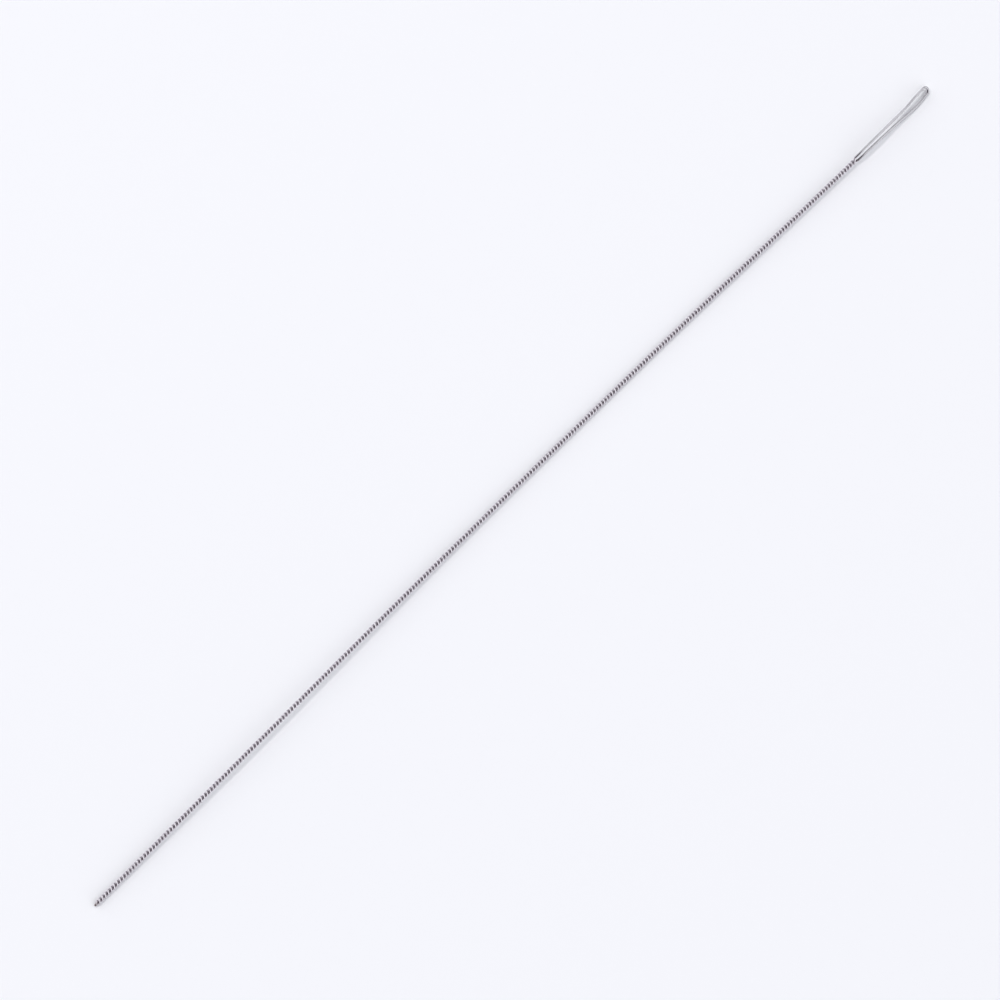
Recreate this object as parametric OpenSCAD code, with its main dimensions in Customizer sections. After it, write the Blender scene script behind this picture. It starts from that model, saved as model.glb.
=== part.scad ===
// Needle threader bent from one steel wire. The wire is folded in half: its two legs are
// twisted together into a thin springy shaft that ends in a point, and the fold stays open
// as a narrow collapsible eye that takes the thread and squeezes flat to follow the shaft.
//
// Frame: +X runs from the point to the eye, +Z is up from the surface that the threader
// lies on, and the origin is at mid length on that surface. Lengths are in millimetres.
// Each stretch of wire that flexes against the next is a solid of its own.

/* [Wire] */
// Diameter of the wire
wire_d = 0.28; // [0.2:0.01:0.3]
// Running gap between the two strands where they cross
strand_gap = 0.004; // [0.002:0.001:0.01]

/* [Shaft] */
// Length of the twisted shaft, from the point to the root of the eye
shaft_length = 116; // [80:1:140]
// Lengths that the shaft is divided into, which flex against each other
shaft_sections = 5; // [3:1:6]
// Twist at the point, in turns of a strand for each millimetre
turns_at_point = 1.105; // [0.9:0.005:1.2]
// Twist at the eye, in turns of a strand for each millimetre
turns_at_eye = 1.245; // [0.9:0.005:1.25]
// Lay of the twist: 1 for a right-hand helix, -1 for a left-hand one
lay_hand = -1; // [-1, 1]
// Length over which the cut ends taper to the point
point_length = 0.6; // [0.3:0.1:1.5]
// Thickness of the point, as a share of the full shaft
point_share = 0.35; // [0.25:0.05:0.6]
// Length over which the twist runs out at the root of the eye
runout_length = 0.58; // [0.5:0.02:1]
// Sideways bow of the shaft at mid length
shaft_bow = 0.49; // [0:0.01:1]
// Height of the shaft's axis between its point and its middle, where it arches
arch_height = 0.9; // [0.4:0.05:1]
// Height of the shaft's axis where its twist ends, just before the eye
end_height = 0.62; // [0.3:0.02:0.8]

/* [Eye] */
// Length of the eye, from its root to the outside of the bow
eye_length = 11; // [9:0.1:16]
// Tilt of the eye about its length, which lifts its left side, in degrees
eye_tilt = 40; // [0:1:45]
// Height of the eye's axis in its throat, where it stands clear of the surface
throat_height = 1.02; // [0.7:0.02:1.04]
// Half width of the throat at the root, to the wire's centre
root_half = 0.264; // [0.2:0.002:0.28]
// Half width of the throat's far end, to the wire's centre
throat_half = 0.355; // [0.32:0.005:0.4]
// Half width of the eye where it starts to flare, to the wire's centre
flare_half = 0.44; // [0.4:0.005:0.48]
// Half width of the eye at its widest, to the wire's centre
eye_half = 0.533; // [0.5:0.001:0.7]
// Radius of the bow that closes the eye, to the wire's centre
bow_r = 0.46; // [0.4:0.01:0.5]

/* [Detail] */
// Flat sides of a strand in the shaft
strand_sides = 6; // [6:1:8]
// Rings in each turn of a strand
rings_per_turn = 6; // [6:1:8]
// Flat sides of the wire in the eye
eye_sides = 12; // [8:1:16]
// Length between rings of the wire in the eye
eye_step = 0.25; // [0.1:0.05:0.5]

/* [Hidden] */
SECTIONS = [for (s = [1 : shaft_sections]) s];

wire_r = wire_d / 2;
helix_r = (wire_d + strand_gap) / 2;
lying_height = helix_r + wire_r;
overall_length = shaft_length + eye_length;

// Distances along X, measured from the point
root_x = shaft_length;
throat_end_x = root_x + 0.569 * eye_length;
flare_x = root_x + 0.691 * eye_length;
widest_x = root_x + 0.837 * eye_length;
crest_x = overall_length - wire_r;
bow_x = crest_x - bow_r;

// Height of the eye's axis where the lower of its two sides rests on the surface
rest_clearance = 0.003;
rest_height = wire_r + eye_half * sin(eye_tilt) + rest_clearance;

// The axis of the whole threader as [distance from the point, side, height]: a gentle bow
// to the left, an arch before mid length, a step up into the throat of the eye, and a slow
// fall and a slight sway to its bow
AXIS = [
    [0, 0, lying_height],
    [0.24 * shaft_length, 0.56 * shaft_bow, arch_height],
    [0.48 * shaft_length, shaft_bow, 0.7 * lying_height + 0.3 * arch_height],
    [0.72 * shaft_length, 0.80 * shaft_bow, lying_height],
    [root_x - 0.7, 0, end_height],
    [root_x + 1.1, -0.010, throat_height - 0.03],
    [root_x + 2.6, -0.015, throat_height],
    [throat_end_x, -0.088, 0.37 * throat_height + 0.63 * rest_height],
    [flare_x, -0.125, rest_height + 0.01],
    [widest_x, -0.06, rest_height],
    [overall_length, 0.09, rest_height - 0.02]
];

// The eye's outline as [distance from the point, half width to the wire's centre]
OUTLINE = [
    [root_x, root_half],
    [root_x + 3, root_half + 0.034],
    [throat_end_x, throat_half],
    [flare_x, flare_half],
    [widest_x, eye_half],
    [bow_x, bow_r],
    [crest_x, bow_r]
];

// Sideways shift that centres the box on the origin
side_shift = -0.064;

// The direction from the eye's axis to its left side
LEFT = [0, cos(eye_tilt), sin(eye_tilt)];

// Smooth curve through a list of stations, each [x, value, ...], read in one column. It never
// overshoots a station, and is level at each highest and lowest one
function station(list, x, i = 0) =
    i >= len(list) - 2 || x < list[i + 1][0] ? i : station(list, x, i + 1);
function rise(list, i, col) = (list[i + 1][col] - list[i][col]) / (list[i + 1][0] - list[i][0]);
function slope(list, i, col) =
    i == 0 ? rise(list, 0, col)
        : i == len(list) - 1 ? rise(list, i - 1, col)
        : let (
              before = rise(list, i - 1, col),
              after = rise(list, i, col)
          )
          before * after <= 0 ? 0 : 2 * before * after / (before + after);
function curve(list, x, col) =
    let (
        i = station(list, x),
        span = list[i + 1][0] - list[i][0],
        t = (x - list[i][0]) / span,
        from = list[i][col],
        to = list[i + 1][col],
        from_slope = slope(list, i, col) * span,
        to_slope = slope(list, i + 1, col) * span
    )
    from
        + from_slope * t
        + (3 * (to - from) - 2 * from_slope - to_slope) * t * t
        + (2 * (from - to) + from_slope + to_slope) * t * t * t;

// Turn of the wires about the axis, in degrees: the tilt in the eye, and growing from its root
// towards the point
function laid(x) =
    let (left = max(root_x - x, 0))
    left < runout_length ? left * left / (2 * runout_length) : left - runout_length / 2;
function turn(x) =
    let (d = laid(x))
    eye_tilt
        - lay_hand * 360 * (turns_at_eye * d - (turns_at_eye - turns_at_point) * d * d / (2 * shaft_length));

// How full the wire is, which falls off only at the point
function fullness(x) = min(1, point_share + (1 - point_share) * x / point_length);

// Distance of a strand or an eye wire from the axis
function half_gap(x) =
    x >= root_x
        ? curve(OUTLINE, x, 1)
        : let (run = max(0, 1 - (root_x - x) / runout_length))
          (helix_r + (root_half - helix_r) * run * run) * fullness(x);

// The axis, the direction from it to the wire, and the wire's centre: side is 1 for the wire
// that makes the left of the eye, and -1 for the right
function axis(x) = [x - overall_length / 2, curve(AXIS, x, 1) + side_shift, curve(AXIS, x, 2)];
function outward(side, x) = side * [0, cos(turn(x)), sin(turn(x))];
function centre(side, x) = axis(x) + half_gap(x) * outward(side, x);

// The bow's quarter circle, from its start at 0 degrees to the crest at 90
function bow_centre(side, angle) =
    axis(bow_x + bow_r * sin(angle)) + side * bow_r * cos(angle) * LEFT;

function unit(v) = v / norm(v);

// One ring of the wire's surface, round a centre, square to the way the wire runs. Its flats
// face the axis, whichever of its corners comes first
function ring(middle, along, out, radius, sides, first = 0) =
    let (
        t = unit(along),
        n = unit(out - (out * t) * t),
        b = cross(t, n)
    )
    [for (k = [0 : sides - 1])
        let (angle = 360 * (k + 0.5 - first) / sides)
        middle + radius * (cos(angle) * n + sin(angle) * b)];

function ring_at(side, x, sides, first = 0) =
    let (e = 0.005)
    ring(
        centre(side, x),
        centre(side, x + e) - centre(side, x - e),
        outward(side, x),
        wire_r * fullness(x),
        sides,
        first
    );
function bow_ring(side, angle, sides) =
    let (e = 0.5)
    ring(
        bow_centre(side, angle),
        bow_centre(side, angle + e) - bow_centre(side, angle - e),
        [sin(angle), 0, 0] + side * cos(angle) * LEFT,
        wire_r,
        sides
    );

// A closed solid through rings of points
module skin(rings) {
    n = len(rings[0]);
    last = len(rings) - 1;
    points = [for (r = rings) for (p = r) p];
    walls = [
        for (i = [0 : last - 1]) for (k = [0 : n - 1])
            let (
                a = i * n + k,
                b = i * n + (k + 1) % n
            )
            each [[a, b + n, b], [a, a + n, b + n]]
    ];
    start = [for (k = [0 : n - 1]) k];
    end = [for (k = [n - 1 : -1 : 0]) last * n + k];
    polyhedron(points, concat([start], walls, [end]), convexity = 10);
}

// A stretch of the eye's wire between two distances from the point
module eye_wire(side, from, to) {
    steps = ceil((to - from) / eye_step);
    skin([for (i = [0 : steps]) ring_at(side, from + (to - from) * i / steps, eye_sides)]);
}

// One strand of one section. A helix rolls its own frame, so each ring starts a corner
// further on, which keeps the facets running along the wire
module strand(side, section) {
    from = (section - 1) * shaft_length / shaft_sections;
    to = section * shaft_length / shaft_sections;
    steps = round(abs(turn(to) - turn(from)) / 360 * rings_per_turn);
    skin([for (i = [0 : steps])
        ring_at(side, from + (to - from) * i / steps, strand_sides, lay_hand * i)]);
}

module strand_a(section) {
    color([0.60, 0.58, 0.61]) strand(1, section);
}

module strand_b(section) {
    color([0.70, 0.69, 0.71]) strand(-1, section);
}

module throat_left() {
    color([0.80, 0.81, 0.83]) eye_wire(1, root_x, throat_end_x);
}

module throat_right() {
    color([0.74, 0.75, 0.77]) eye_wire(-1, root_x, throat_end_x);
}

module flank_left() {
    color([0.80, 0.81, 0.83]) eye_wire(1, throat_end_x, widest_x);
}

module flank_right() {
    color([0.74, 0.75, 0.77]) eye_wire(-1, throat_end_x, widest_x);
}

module bow(side) {
    straight = ceil((bow_x - widest_x) / eye_step);
    arc = 8;
    skin(concat(
        [for (i = [0 : straight - 1])
            ring_at(side, widest_x + (bow_x - widest_x) * i / straight, eye_sides)],
        [for (i = [0 : arc]) bow_ring(side, 90 * i / arc, eye_sides)]
    ));
}

module bow_left() {
    color([0.80, 0.81, 0.83]) bow(1);
}

module bow_right() {
    color([0.74, 0.75, 0.77]) bow(-1);
}

for (s = SECTIONS) {
    strand_a(s);
    strand_b(s);
}
throat_left();
throat_right();
flank_left();
flank_right();
bow_left();
bow_right();
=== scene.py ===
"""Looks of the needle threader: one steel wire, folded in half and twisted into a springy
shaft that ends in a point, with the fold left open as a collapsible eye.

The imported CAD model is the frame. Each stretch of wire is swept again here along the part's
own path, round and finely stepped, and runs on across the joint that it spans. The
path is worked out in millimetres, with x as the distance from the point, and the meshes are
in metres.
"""

import math

import bpy
import numpy as np
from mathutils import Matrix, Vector


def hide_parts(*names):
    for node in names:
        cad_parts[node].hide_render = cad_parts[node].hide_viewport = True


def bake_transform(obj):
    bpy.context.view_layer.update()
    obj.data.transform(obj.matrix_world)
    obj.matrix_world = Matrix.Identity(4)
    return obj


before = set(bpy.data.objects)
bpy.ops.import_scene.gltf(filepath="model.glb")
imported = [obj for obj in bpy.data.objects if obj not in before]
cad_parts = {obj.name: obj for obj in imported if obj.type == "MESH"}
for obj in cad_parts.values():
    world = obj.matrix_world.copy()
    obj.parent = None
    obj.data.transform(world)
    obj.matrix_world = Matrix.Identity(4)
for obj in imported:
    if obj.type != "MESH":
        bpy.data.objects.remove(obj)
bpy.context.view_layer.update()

MM = 0.001

# ---- The part's driving dimensions, in millimetres and degrees -----------------------
WIRE_D = 0.28
STRAND_GAP = 0.004
SHAFT_LENGTH = 116
SHAFT_SECTIONS = 5
TURNS_AT_POINT = 1.105
TURNS_AT_EYE = 1.245
LAY_HAND = -1
POINT_LENGTH = 0.6
POINT_SHARE = 0.35
RUNOUT_LENGTH = 0.58
SHAFT_BOW = 0.49
ARCH_HEIGHT = 0.9
END_HEIGHT = 0.62
EYE_LENGTH = 11
EYE_TILT = math.radians(40)
THROAT_HEIGHT = 1.02
ROOT_HALF = 0.264
THROAT_HALF = 0.355
FLARE_HALF = 0.44
EYE_HALF = 0.533
BOW_R = 0.46
SIDE_SHIFT = -0.064
FLOOR_CLEARANCE = 0.003

# What follows from them: radii, heights of the axis, and places along it
WIRE_R = WIRE_D / 2
HELIX_R = (WIRE_D + STRAND_GAP) / 2
LYING_HEIGHT = HELIX_R + WIRE_R
REST_HEIGHT = WIRE_R + EYE_HALF * math.sin(EYE_TILT) + FLOOR_CLEARANCE
OVERALL_LENGTH = SHAFT_LENGTH + EYE_LENGTH
ROOT_X = SHAFT_LENGTH
THROAT_END_X = ROOT_X + 0.569 * EYE_LENGTH
FLARE_X = ROOT_X + 0.691 * EYE_LENGTH
WIDEST_X = ROOT_X + 0.837 * EYE_LENGTH
CREST_X = OVERALL_LENGTH - WIRE_R
BOW_X = CREST_X - BOW_R

# The direction from the eye's axis to its left side
LEFT = np.array([0, math.cos(EYE_TILT), math.sin(EYE_TILT)])

# ---- How finely the wire is swept ----------------------------------------------------
WIRE_SIDES = 16
STRAND_STEP = 0.04
EYE_STEP = 0.06
BOW_RINGS = 24
# The tongue that a strand's stretch has inside the next one, and its share of the thickness
TONGUE = 0.3
TONGUE_SHARE = 0.93
# Half the step, in millimetres or radians, over which the wire's direction is taken
HALF_STEP = 0.005

# ---- Where the wire is soiled, in millimetres ----------------------------------------
# The groove's dirt and painted shade start to fade before the eye's root and are gone a little past
# it
GROOVE_END_X = ROOT_X + 1.5
GROOVE_FADE = 2
STAIN_LENGTH = 1.5 * POINT_LENGTH

# The axis as (distance from the point, side, height), and the eye's outline as
# (distance from the point, half width to the wire's centre)
AXIS = (
    (0, 0, LYING_HEIGHT),
    (0.24 * SHAFT_LENGTH, 0.56 * SHAFT_BOW, ARCH_HEIGHT),
    (0.48 * SHAFT_LENGTH, SHAFT_BOW, 0.7 * LYING_HEIGHT + 0.3 * ARCH_HEIGHT),
    (0.72 * SHAFT_LENGTH, 0.80 * SHAFT_BOW, LYING_HEIGHT),
    (ROOT_X - 0.7, 0, END_HEIGHT),
    (ROOT_X + 1.1, -0.010, THROAT_HEIGHT - 0.03),
    (ROOT_X + 2.6, -0.015, THROAT_HEIGHT),
    (THROAT_END_X, -0.088, 0.37 * THROAT_HEIGHT + 0.63 * REST_HEIGHT),
    (FLARE_X, -0.125, REST_HEIGHT + 0.01),
    (WIDEST_X, -0.06, REST_HEIGHT),
    (OVERALL_LENGTH, 0.09, REST_HEIGHT - 0.02),
)
OUTLINE = (
    (ROOT_X, ROOT_HALF),
    (ROOT_X + 3, ROOT_HALF + 0.034),
    (THROAT_END_X, THROAT_HALF),
    (FLARE_X, FLARE_HALF),
    (WIDEST_X, EYE_HALF),
    (BOW_X, BOW_R),
    (CREST_X, BOW_R),
)


# ---- The wire's path -----------------------------------------------------------------
def curve(stations, x, column):
    """The smooth curve through one column of the stations, which never overshoots them."""
    xs = np.array([s[0] for s in stations], float)
    ys = np.array([s[column] for s in stations], float)
    spans = np.diff(xs)
    rises = np.diff(ys) / spans
    before, after = rises[:-1], rises[1:]
    same_way = before * after > 0
    inner = np.where(same_way, 2 * before * after / np.where(same_way, before + after, 1), 0)
    slopes = np.concatenate([rises[:1], inner, rises[-1:]])
    i = np.clip(np.searchsorted(xs, x, side="right") - 1, 0, len(spans) - 1)
    t = (x - xs[i]) / spans[i]
    start, end = ys[i], ys[i + 1]
    start_slope, end_slope = slopes[i] * spans[i], slopes[i + 1] * spans[i]
    return (
        start
        + start_slope * t
        + (3 * (end - start) - 2 * start_slope - end_slope) * t**2
        + (2 * (start - end) + start_slope + end_slope) * t**3
    )


def laid(x):
    """The length of the twist between x and the eye, where it runs out evenly to nothing."""
    left = np.maximum(ROOT_X - x, 0)
    return np.where(left < RUNOUT_LENGTH, left**2 / (2 * RUNOUT_LENGTH), left - RUNOUT_LENGTH / 2)


def turn(x):
    """Turn of the wires about the axis, in radians: the tilt in the eye, and more towards
    the point."""
    d = laid(x)
    turns = TURNS_AT_EYE * d - (TURNS_AT_EYE - TURNS_AT_POINT) * d**2 / (2 * SHAFT_LENGTH)
    return EYE_TILT - LAY_HAND * 2 * math.pi * turns


def fullness(x):
    """The wire's share of its thickness: 1, but less in the point."""
    return np.minimum(1, POINT_SHARE + (1 - POINT_SHARE) * x / POINT_LENGTH)


def half_gap(x):
    """The distance from the axis to each wire's centre."""
    run = np.maximum(0, 1 - (ROOT_X - x) / RUNOUT_LENGTH)
    shaft = (HELIX_R + (ROOT_HALF - HELIX_R) * run**2) * fullness(x)
    return np.where(x >= ROOT_X, curve(OUTLINE, x, 1), shaft)


def axis_at(x):
    return np.stack([x - OVERALL_LENGTH / 2, curve(AXIS, x, 1) + SIDE_SHIFT, curve(AXIS, x, 2)], 1)


def outward(side, x):
    """The direction from the axis to the wire of that side, 1 for left and -1 for right."""
    return side * np.stack([np.zeros_like(x), np.cos(turn(x)), np.sin(turn(x))], 1)


def wire_centre(side, x):
    return axis_at(x) + half_gap(x)[:, None] * outward(side, x)


def bow_centre(side, angle):
    """The centre of the wire in the bow, at an angle from its start to its crest."""
    across = side * BOW_R * np.cos(angle)
    return axis_at(BOW_X + BOW_R * np.sin(angle)) + across[:, None] * LEFT


def unit(v):
    return v / np.linalg.norm(v, axis=1, keepdims=True)


# ---- Sweeping it into meshes ---------------------------------------------------------
def sweep(name, centres, along, out, radii, groove, cut):
    """A closed tube round the centres. Its own coordinates go with it for the materials:
    where each point is round and along the wire, how far it lies in the groove between the
    strands, and how near it is to the cut point."""
    t = unit(along)
    n = unit(out - np.sum(out * t, axis=1, keepdims=True) * t)
    b = np.cross(t, n)
    angles = 2 * math.pi * np.arange(WIRE_SIDES) / WIRE_SIDES
    ring = np.cos(angles)[None, :, None] * n[:, None] + np.sin(angles)[None, :, None] * b[:, None]
    points = centres[:, None] + radii[:, None, None] * ring
    count = len(centres)
    first = np.arange(count - 1)[:, None] * WIRE_SIDES
    k = np.arange(WIRE_SIDES)[None, :]
    a0, a1 = first + k, first + (k + 1) % WIRE_SIDES
    walls = np.stack([a0, a1, a1 + WIRE_SIDES, a0 + WIRE_SIDES], 2).reshape(-1, 4)
    start = list(range(WIRE_SIDES))[::-1]
    end = [(count - 1) * WIRE_SIDES + i for i in range(WIRE_SIDES)]
    mesh = bpy.data.meshes.new(name)
    mesh.from_pydata((points * MM).reshape(-1, 3).tolist(), [], walls.tolist() + [start, end])
    mesh.polygons.foreach_set("use_smooth", [True] * len(mesh.polygons))
    ends = set(start) | set(end)
    sharp = mesh.attributes.new("sharp_edge", "BOOLEAN", "EDGE")
    sharp.data.foreach_set(
        "value",
        [e.vertices[0] in ends and e.vertices[1] in ends for e in mesh.edges],
    )
    steps = np.linalg.norm(np.diff(centres, axis=0), axis=1)
    run = np.concatenate([[0], np.cumsum(steps)])
    wire = np.stack(
        [
            np.tile(np.cos(angles), count),
            np.tile(np.sin(angles), count),
            np.repeat(run, WIRE_SIDES),
        ],
        1,
    )
    mesh.attributes.new("wire", "FLOAT_VECTOR", "POINT").data.foreach_set("vector", wire.ravel())
    # How far each point faces into the groove, where the steel is darkened as dirt and as painted
    # shade between the strands
    facing = (0.5 - 0.5 * np.cos(angles))[None, :] * groove[:, None]
    mesh.attributes.new("groove", "FLOAT", "POINT").data.foreach_set("value", facing.ravel())
    near_cut = np.repeat(cut, WIRE_SIDES)
    mesh.attributes.new("cut", "FLOAT", "POINT").data.foreach_set("value", near_cut)
    mesh.update()
    obj = bpy.data.objects.new(name, mesh)
    bpy.context.scene.collection.objects.link(obj)
    return obj


def between(start, end, step):
    """Even places from start to end, no further apart than the step."""
    return np.linspace(start, end, math.ceil((end - start) / step) + 1)


def stretch(name, side, start, end, step, tongue=0, with_bow=False):
    """A stretch of one side's wire between two distances from the point, and round the
    bow to its crest if asked. A tongue runs on inside the next stretch, a little thinner,
    and bridges the gap that opens between the two as the shaft bends."""
    inside = between(end, end + tongue, step) if tongue else []
    x = np.append(between(start, end, step), inside)
    centres = wire_centre(side, x)
    along = wire_centre(side, x + HALF_STEP) - wire_centre(side, x - HALF_STEP)
    out = outward(side, x)
    if with_bow:
        angle = np.linspace(0, math.pi / 2, BOW_RINGS)[1:]
        centres = np.concatenate([centres, bow_centre(side, angle)])
        turning = bow_centre(side, angle + HALF_STEP) - bow_centre(side, angle - HALF_STEP)
        along = np.concatenate([along, turning])
        ahead = np.sin(angle)[:, None] * np.array([1, 0, 0])
        out = np.concatenate([out, ahead + side * np.cos(angle)[:, None] * LEFT])
    distance = centres[:, 0] + OVERALL_LENGTH / 2
    radii = WIRE_R * fullness(distance)
    if tongue:
        radii[-len(inside) :] *= TONGUE_SHARE
    groove = np.clip((GROOVE_END_X - distance) / GROOVE_FADE, 0, 1)
    cut = np.clip(1 - distance / STAIN_LENGTH, 0, 1)
    return sweep(name, centres, along, out, radii, groove, cut)


def make_strands(material):
    """Each strand in four stretches, one across each of the shaft's four joints. A stretch runs
    over both of the sections that its joint joins, so that the stretches meet in one arc."""
    section = SHAFT_LENGTH / SHAFT_SECTIONS
    for letter, side in (("a", 1), ("b", -1)):
        for s in range(1, SHAFT_SECTIONS):
            middle, next_middle = (s - 0.5) * section, (s + 0.5) * section
            start = 0 if s == 1 else middle
            end, tongue = (next_middle, TONGUE) if s < SHAFT_SECTIONS - 1 else (ROOT_X, 0)
            name = f"strand_{letter}_over_joint_{s}"
            piece = stretch(name, side, start, end, STRAND_STEP, tongue)
            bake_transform(piece)
            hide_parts(f"strand_{letter}_{s}", f"strand_{letter}_{s + 1}")
            piece.data.materials.append(material)


def make_eye(material):
    """Each side of the eye in two stretches: the throat and half the flank, and the rest
    of the flank with its half of the bow."""
    middle_of_flank = (THROAT_END_X + WIDEST_X) / 2
    for hand, side in (("left", 1), ("right", -1)):
        leg = stretch(f"eye_leg_{hand}", side, ROOT_X, middle_of_flank, EYE_STEP)
        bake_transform(leg)
        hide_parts(f"throat_{hand}", f"flank_{hand}")
        tip = stretch(f"eye_bow_{hand}", side, middle_of_flank, BOW_X, EYE_STEP, with_bow=True)
        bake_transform(tip)
        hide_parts(f"flank_{hand}", f"bow_{hand}")
        for piece in (leg, tip):
            piece.data.materials.append(material)


# ---- Materials -----------------------------------------------------------------------
# groove_dirt_and_shade is the dark colour painted into the groove, for dirt and for the shade that
# falls between the strands
SHAFT_STEEL = {
    "bright": (0.66, 0.63, 0.66),
    "dull": (0.57, 0.53, 0.57),
    "groove_dirt_and_shade": (0.08, 0.045, 0.06),
    "roughness": 0.14,
}
# Painted shade: the eye's wires are the same steel as the shaft's, given a darker tone than the
# shaft's
EYE_STEEL = {
    "bright": (0.48, 0.47, 0.49),
    "dull": (0.42, 0.41, 0.43),
    "groove_dirt_and_shade": (0.10, 0.08, 0.10),
    "roughness": 0.12,
}
# How much rougher the steel is on the drawing lines, and in the groove's dirt and painted shade
LINE_ROUGHNESS = 0.08
DIRT_ROUGHNESS = 0.35
LINE_DEPTH = 0.004
STAIN = (0.36, 0.29, 0.26)
STAIN_STRENGTH = 0.6
FLOOR_COLOUR = (0.892, 0.899, 0.926)


class Tree:
    """A short way to write a node tree."""

    def __init__(self, owner):
        owner.use_nodes = True
        self.tree = owner.node_tree
        self.tree.nodes.clear()

    def node(self, kind, inputs=None, **settings):
        node = self.tree.nodes.new(kind)
        for name, value in settings.items():
            setattr(node, name, value)
        for name, value in (inputs or {}).items():
            if isinstance(value, bpy.types.NodeSocket):
                self.tree.links.new(value, node.inputs[name])
            else:
                node.inputs[name].default_value = value
        return node

    def math(self, operation, a, b):
        """The two values, put together by a Math node."""
        return self.node("ShaderNodeMath", {0: a, 1: b}, operation=operation).outputs[0]

    def mix(self, factor, a, b):
        """From the first colour, at 0, to the second, at 1."""
        node = self.node(
            "ShaderNodeMix", {"Factor": factor, "A": a, "B": b}, data_type="RGBA", blend_type="MIX"
        )
        return node.outputs["Result"]

    def shade(self, colour, amount):
        """The colour times an amount, from 0 for black to 1 for unchanged."""
        grey = self.node("ShaderNodeCombineColor", {0: amount, 1: amount, 2: amount}).outputs[0]
        node = self.node(
            "ShaderNodeMix",
            {"Factor": 1.0, "A": colour, "B": grey},
            data_type="RGBA",
            blend_type="MULTIPLY",
        )
        return node.outputs["Result"]

    def ramp(self, value, low, high, to_low=0.0, to_high=1.0):
        """The value, eased from to_low, where it is low, to to_high, where it is high."""
        node = self.node(
            "ShaderNodeMapRange",
            {
                "Value": value,
                "From Min": low,
                "From Max": high,
                "To Min": to_low,
                "To Max": to_high,
            },
            interpolation_type="SMOOTHSTEP",
        )
        return node.outputs["Result"]


def steel(name, bright, dull, groove_dirt_and_shade, roughness):
    """Drawn steel wire: fine lines along it, faint patches of tarnish, dull dirt and painted shade
    down in the groove, and a warm stain where the point was cut."""
    material = bpy.data.materials.new(name)
    t = Tree(material)
    wire = t.node("ShaderNodeAttribute", attribute_name="wire").outputs["Vector"]
    groove = t.node("ShaderNodeAttribute", attribute_name="groove").outputs["Fac"]
    cut = t.node("ShaderNodeAttribute", attribute_name="cut").outputs["Fac"]

    def noise(stretch_to, scale, detail):
        """Noise in the wire's own coordinates: round it, round it, and along it."""
        place = t.node("ShaderNodeMapping", {"Vector": wire, "Scale": stretch_to})
        settings = {"Vector": place.outputs[0], "Scale": scale, "Detail": detail}
        return t.node("ShaderNodeTexNoise", settings).outputs["Fac"]

    lines = noise((1, 1, 0.12), 9.0, 3.0)
    patches = noise((0.6, 0.6, 0.5), 1.6, 4.0)
    tone = t.mix(t.ramp(patches, 0.3, 0.75), (*bright, 1), (*dull, 1))
    tone = t.shade(tone, t.ramp(lines, 0.3, 0.7, 0.9, 1.0))
    # Dirt and painted shade in the groove: its inner faces are darkened towards the groove's
    # colour, as dirt and as the shade between the strands
    dirt_and_shade = t.math("MULTIPLY", t.ramp(groove, 0.35, 0.9), t.ramp(patches, 0.2, 0.6, 0.8, 1.0))
    tone = t.mix(dirt_and_shade, tone, (*groove_dirt_and_shade, 1))
    stain = t.math("MULTIPLY", t.ramp(cut, 0.2, 1.0), STAIN_STRENGTH)
    tone = t.mix(stain, tone, (*STAIN, 1))
    worn = t.ramp(lines, 0.3, 0.75, roughness, roughness + LINE_ROUGHNESS)
    rough = t.math("ADD", worn, t.math("MULTIPLY", dirt_and_shade, DIRT_ROUGHNESS))
    bump = t.node(
        "ShaderNodeBump", {"Height": lines, "Strength": 0.2, "Distance": LINE_DEPTH * MM}
    ).outputs[0]
    surface = t.node(
        "ShaderNodeBsdfPrincipled",
        {"Base Color": tone, "Metallic": 1.0, "Roughness": rough, "Normal": bump},
    )
    t.node("ShaderNodeOutputMaterial", {"Surface": surface.outputs[0]})
    return material


def floor_paper():
    """Plain pale paper, with next to no gloss."""
    material = bpy.data.materials.new("pale_paper")
    t = Tree(material)
    surface = t.node(
        "ShaderNodeBsdfPrincipled",
        {
            "Base Color": (*FLOOR_COLOUR, 1),
            "Roughness": 0.9,
            "Specular IOR Level": 0.1,
        },
    )
    t.node("ShaderNodeOutputMaterial", {"Surface": surface.outputs[0]})
    return material


# ---- Studio, in metres and degrees ---------------------------------------------------
# The camera looks straight down, with the threader turned in its frame
FRAME_WIDTH = 0.8566 * OVERALL_LENGTH * MM
TURN_IN_FRAME = math.radians(44.43)
FRAME_CENTRE = Vector((-1.12, 0.59, 0)) * MM
CAMERA_HEIGHT = 0.5
SENSOR = 36
FLOOR_HALF = 2.0

KEY_AZIMUTH = 88
KEY_ELEVATION = 61
KEY_DISTANCE = 1.5
KEY_LENGTH = 1.0
KEY_WIDTH = 0.32
KEY_POWER = 6.3
KEY_COLOUR = (1.0, 0.99, 0.97)

# The room's light, and its zones as ((azimuth, elevation), degrees from there to the zone's
# full colour and to its edge, colour)
SKY = (0.96, 0.97, 1.0)
SKY_STRENGTH = 1.08
ZONES = (
    ((85, 25), 12, 40, (1.5, 1.52, 1.56)),
    ((290, 30), 15, 50, (1.5, 1.52, 1.56)),
    ((190, 36), 36, 54, (0.05, 0.03, 0.05)),
    ((25, 6), 18, 38, (0.08, 0.06, 0.09)),
    ((90, 81), 8, 17, (0.08, 0.06, 0.08)),
)


def toward(azimuth, elevation):
    """The direction at that azimuth from +X towards +Y and that elevation, in degrees."""
    a, e = math.radians(azimuth), math.radians(elevation)
    return Vector((math.cos(e) * math.cos(a), math.cos(e) * math.sin(a), math.sin(e)))


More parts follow.
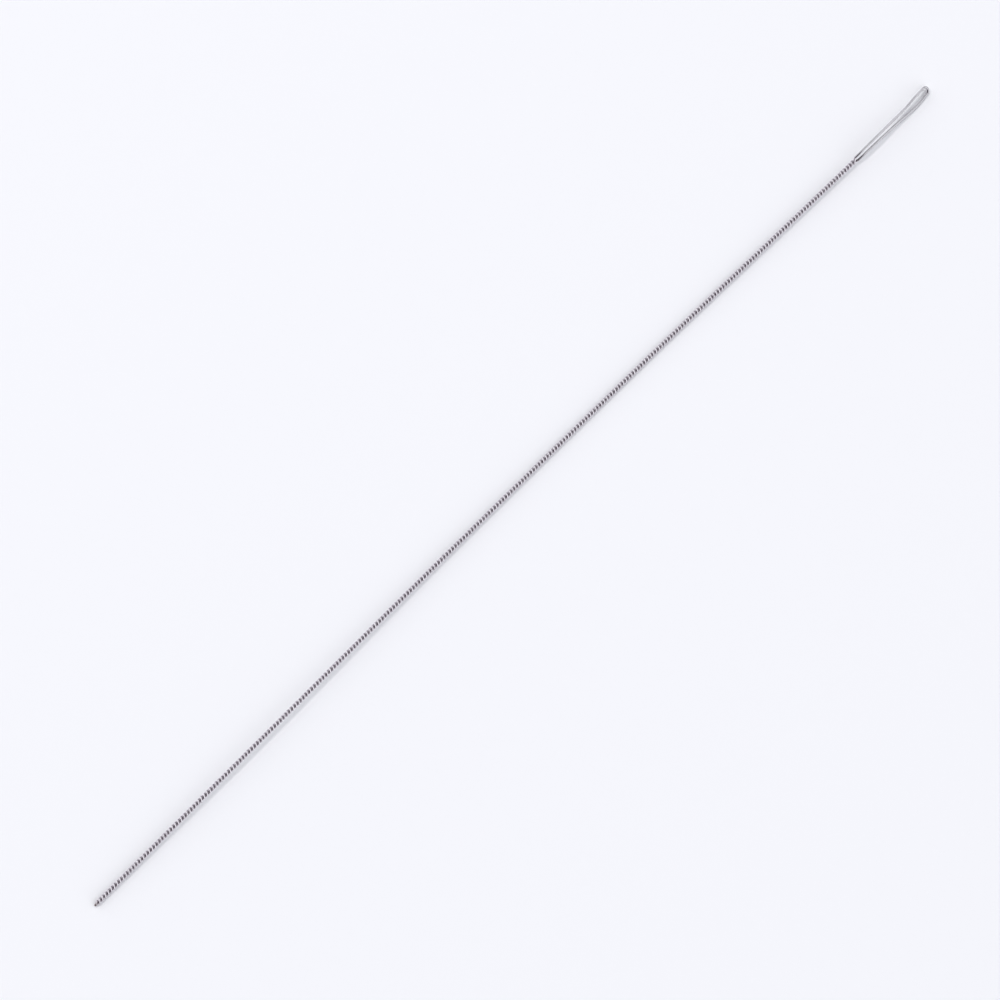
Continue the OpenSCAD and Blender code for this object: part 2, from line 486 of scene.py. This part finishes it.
def make_camera():
    """A camera straight above, whose frame is as wide on the floor as FRAME_WIDTH."""
    data = bpy.data.cameras.new("camera")
    data.sensor_width = SENSOR
    data.lens = SENSOR * CAMERA_HEIGHT / FRAME_WIDTH
    data.clip_start = 0.01
    data.clip_end = 10
    camera = bpy.data.objects.new("camera", data)
    camera.location = FRAME_CENTRE + Vector((0, 0, CAMERA_HEIGHT))
    camera.rotation_euler = (0, 0, -TURN_IN_FRAME)
    bpy.context.scene.collection.objects.link(camera)
    bpy.context.scene.camera = camera


def make_floor():
    """The paper that the threader lies on, out to FLOOR_HALF each way."""
    corners = [(x * FLOOR_HALF, y * FLOOR_HALF, 0) for x, y in ((-1, -1), (1, -1), (1, 1), (-1, 1))]
    mesh = bpy.data.meshes.new("floor")
    mesh.from_pydata(corners, [], [(0, 1, 2, 3)])
    floor = bpy.data.objects.new("floor", mesh)
    bpy.context.scene.collection.objects.link(floor)
    mesh.materials.append(floor_paper())


def make_key_light():
    """A long strip of soft light to the left of the threader, lying along it. Its own
    reflection is left out, because the zones of the room make the wire's highlights."""
    data = bpy.data.lights.new("key", "AREA")
    data.shape = "RECTANGLE"
    data.size = KEY_LENGTH
    data.size_y = KEY_WIDTH
    data.energy = KEY_POWER
    data.color = KEY_COLOUR
    light = bpy.data.objects.new("key", data)
    way = toward(KEY_AZIMUTH, KEY_ELEVATION)
    light.location = way * KEY_DISTANCE
    light.rotation_euler = way.to_track_quat("Z", "Y").to_euler()
    light.visible_glossy = False
    bpy.context.scene.collection.objects.link(light)


def make_world():
    """A pale room: brighter to the left and right of the threader, and dark behind its point,
    low down beyond its eye, and where the camera hangs over it."""
    world = bpy.data.worlds.new("studio")
    bpy.context.scene.world = world
    t = Tree(world)
    view = t.node("ShaderNodeTexCoord").outputs["Generated"]

    def zone(centre, inner, outer):
        """1 within inner degrees of a direction, falling to 0 at outer degrees."""
        lined_up = t.node(
            "ShaderNodeVectorMath", {0: view, 1: tuple(centre)}, operation="DOT_PRODUCT"
        ).outputs["Value"]
        return t.ramp(lined_up, math.cos(math.radians(outer)), math.cos(math.radians(inner)))

    shade = (*SKY, 1)
    for centre, inner, outer, colour in ZONES:
        shade = t.mix(zone(toward(*centre), inner, outer), shade, (*colour, 1))
    background = t.node("ShaderNodeBackground", {"Color": shade, "Strength": SKY_STRENGTH})
    t.node("ShaderNodeOutputWorld", {"Surface": background.outputs[0]})


bpy.context.scene.view_settings.view_transform = "Standard"
make_camera()
make_floor()
make_key_light()
make_world()
make_strands(steel("shaft_steel", **SHAFT_STEEL))
make_eye(steel("eye_steel", **EYE_STEEL))
